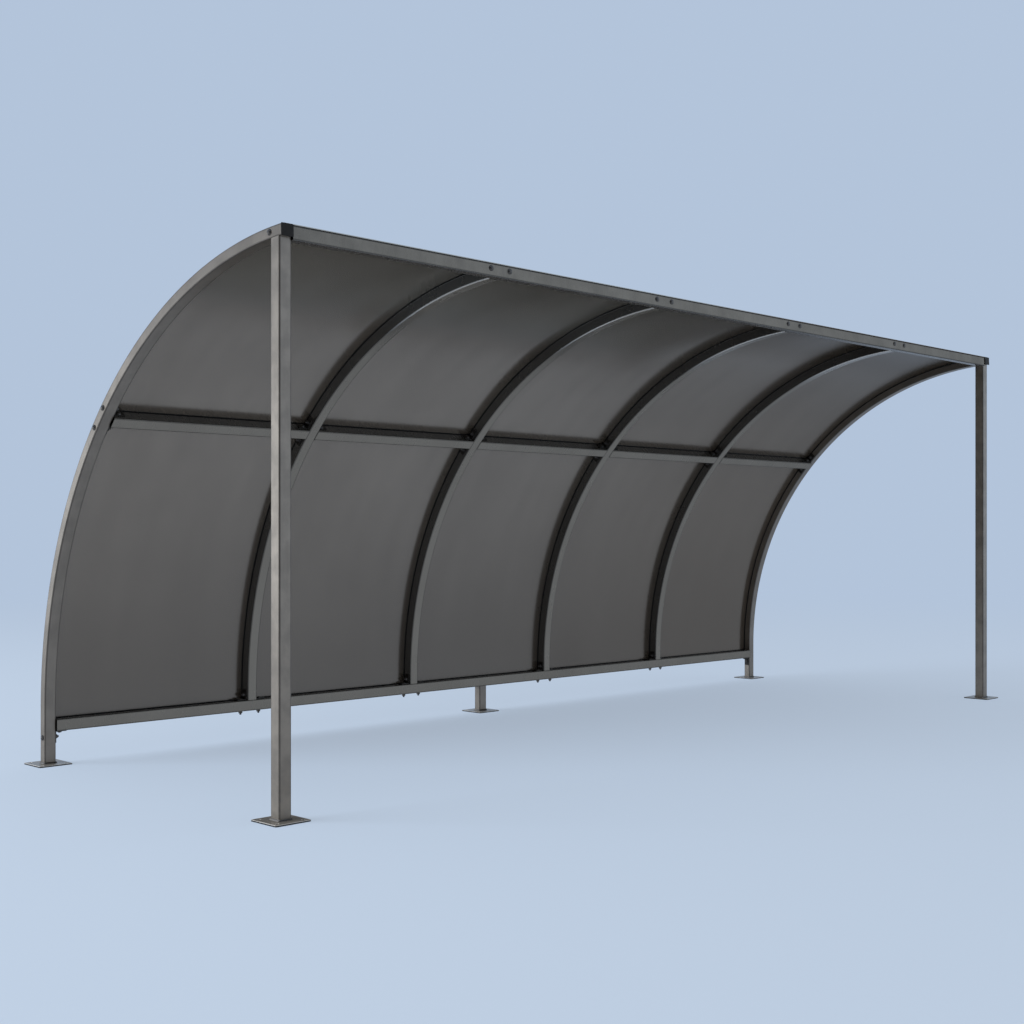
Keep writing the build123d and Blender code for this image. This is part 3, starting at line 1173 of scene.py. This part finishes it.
def make_floor():
    """Pale round floor: it keeps a faint shadow, is painted lighter round a point left of the shelter as a
    pool of light, and melts into the backdrop's colour far away.
    """
    bm = bmesh.new()
    bmesh.ops.create_circle(bm, cap_ends=True, segments=floor_steps, radius=floor_radius)
    floor = add_object("floor", keep_mesh(bm, "floor"))
    material, tree, shader = start_material("pale floor")
    seen = seen_rays(tree)
    set_inputs(tree, shader, {
        "Base Color": mix_colours(tree, seen, floor_bounce, floor_colour), "Roughness": floor_roughness,
        "Specular IOR Level": 0.0})
    path = tree.nodes.new("ShaderNodeLightPath")
    lift = math_node(tree, "MULTIPLY_ADD", path.outputs["Is Camera Ray"], shadow_lift - 1.0, 1.0)
    near = mix_shaders(tree, times(tree, seen, lift), shader.outputs[0], glow_node(tree, floor_glow))
    where = tree.nodes.new("ShaderNodeTexCoord")
    distance = tree.nodes.new("ShaderNodeVectorMath")
    distance.operation = "DISTANCE"
    set_inputs(tree, distance, {0: where.outputs["Object"], 1: light_pool_centre})
    far = rise_node(tree, distance.outputs["Value"], floor_near, floor_far)
    both = mix_shaders(tree, far, near, glow_node(tree, backdrop))
    set_inputs(tree, tree.nodes["Material Output"], {"Surface": both})
    floor.data.materials.append(material)


def make_world():
    """Even neutral light; the camera, gloss and glass see the backdrop's colour."""
    world = bpy.data.worlds.new("studio")
    bpy.context.scene.world = world
    world.use_nodes = True
    tree = world.node_tree
    light = tree.nodes["Background"]
    set_inputs(tree, light, {"Color": world_colour, "Strength": world_strength})
    seen = tree.nodes.new("ShaderNodeBackground")
    set_inputs(tree, seen, {"Color": backdrop})
    both = mix_shaders(tree, seen_rays(tree), light.outputs[0], seen.outputs[0])
    set_inputs(tree, tree.nodes["World Output"], {"Surface": both})


def add_lamp(name, place, aim, wide, tall, power, colour, mirrored=True, lights=True):
    """Soft box that the camera doesn't see; gloss sees it if mirrored, and matt surfaces if it lights."""
    lamp = bpy.data.lights.new(name, "AREA")
    lamp.shape = "RECTANGLE"
    lamp.size = wide
    lamp.size_y = tall
    lamp.energy = power
    lamp.color = colour
    holder = add_object(name, lamp)
    holder.location = place
    holder.rotation_euler = (aim - place).to_track_quat("-Z", "Y").to_euler()
    holder.visible_camera = False
    holder.visible_glossy = mirrored
    holder.visible_diffuse = lights


def add_flag(name, place, aim, wide, tall):
    """Black flag that only reflections see, for dark lines along rounded corners."""
    bm = bmesh.new()
    plain_rectangle(bm, wide, tall)
    bmesh.ops.transform(bm, matrix=facing(place, (aim - place).normalized()), verts=bm.verts)
    flag = add_object(name, keep_mesh(bm, name))
    material, tree, shader = start_material("black cloth")
    set_inputs(tree, shader, {"Base Color": flag_colour, "Roughness": flag_roughness})
    flag.data.materials.append(material)
    flag.visible_camera = False
    flag.visible_diffuse = False
    flag.visible_shadow = False
    flag.visible_transmission = False


def make_camera():
    """Camera at the photo's place, level, with the horizon a little below the middle."""
    data = bpy.data.cameras.new("camera")
    data.sensor_width = sensor
    data.lens = focal_pixels / image_size * sensor
    data.shift_y = (horizon_pixel - image_size / 2) / image_size
    camera = add_object("camera", data)
    camera.location = eye
    camera.rotation_euler = (pi / 2, 0, -eye_turn)
    bpy.context.scene.camera = camera


make_floor()
make_world()
add_lamp(
    "left_back_box", place=Vector((-9.0, 7.0, 1.2)), aim=Vector((0, 0, 1.2)), wide=9.0, tall=3.4,
    power=205.0, colour=(0.95, 0.98, 1.0), lights=False)
add_lamp(
    "left_key", place=Vector((-14.0, 6.0, 5.0)), aim=Vector((0, 0, 1.0)), wide=10.0, tall=8.0,
    power=2440.0, colour=(0.93, 0.96, 1.0), mirrored=False)
add_lamp(
    "right_front_box", place=Vector((7.25, -7.3, 3.0)), aim=Vector((1.9, -0.05, 2.0)), wide=12.5, tall=6.0,
    power=105.0, colour=(0.80, 0.90, 1.0))
add_flag(
    "camera_flag", place=Vector((-7.0, -5.25, 2.4)), aim=Vector((0, 0.83, 2.4)), wide=15.2, tall=6.0)
make_camera()
bpy.context.scene.view_settings.view_transform = "Standard"
